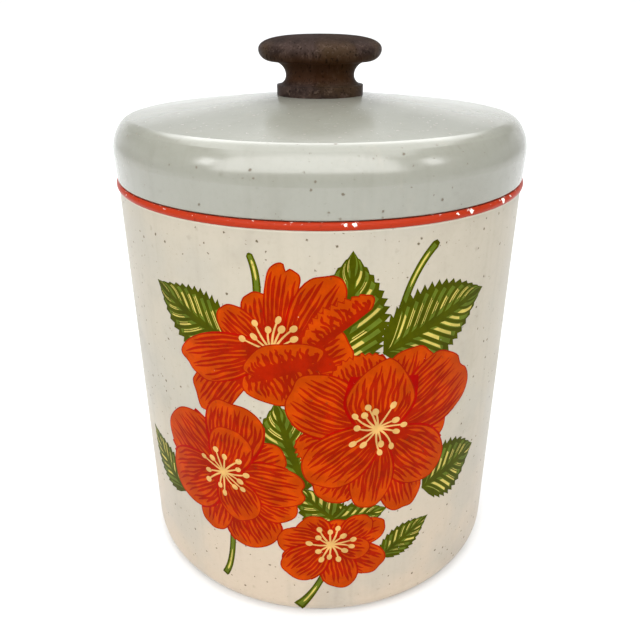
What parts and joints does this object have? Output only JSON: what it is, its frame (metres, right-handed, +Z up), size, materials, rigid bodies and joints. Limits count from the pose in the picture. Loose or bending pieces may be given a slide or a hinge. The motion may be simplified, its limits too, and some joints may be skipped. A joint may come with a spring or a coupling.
{
  "type": "cookie tin",
  "caption": "Round drawn-metal canister with a lift-off domed lid, a turned wooden knob and a rolled coloured bead at its neck.",
  "frame": {"origin": "centre of the face that the tin stands on", "axes": "+Z up along the tin's axis of revolution; the printed flowers face -Y and +X is to the right of them"},
  "size_m": [0.1738, 0.1738, 0.2326],
  "materials": {
    "body_enamel": "cream stoving enamel with fine speckles, satin gloss, the bead orange",
    "lid_enamel": "off-white stoving enamel with fine speckles, satin gloss",
    "knob_wood": "dark walnut stain, worn satin lacquer",
    "plated_steel": "dull zinc plate",
    "print_ink": "screen-printed flower ink, satin"
  },
  "bodies": {
    "canister": {"canister_body": "body_enamel"},
    "lid": {"lid_shell": "lid_enamel", "knob": "knob_wood", "knob_screw": "plated_steel", "knob_washer": "plated_steel"}
  },
  "joints": [
    {"name": "lid_lift", "type": "slide", "parent": "canister", "child": "lid", "axis": [0, 0, 1], "range_m": [0, 0.15]}
  ]
}
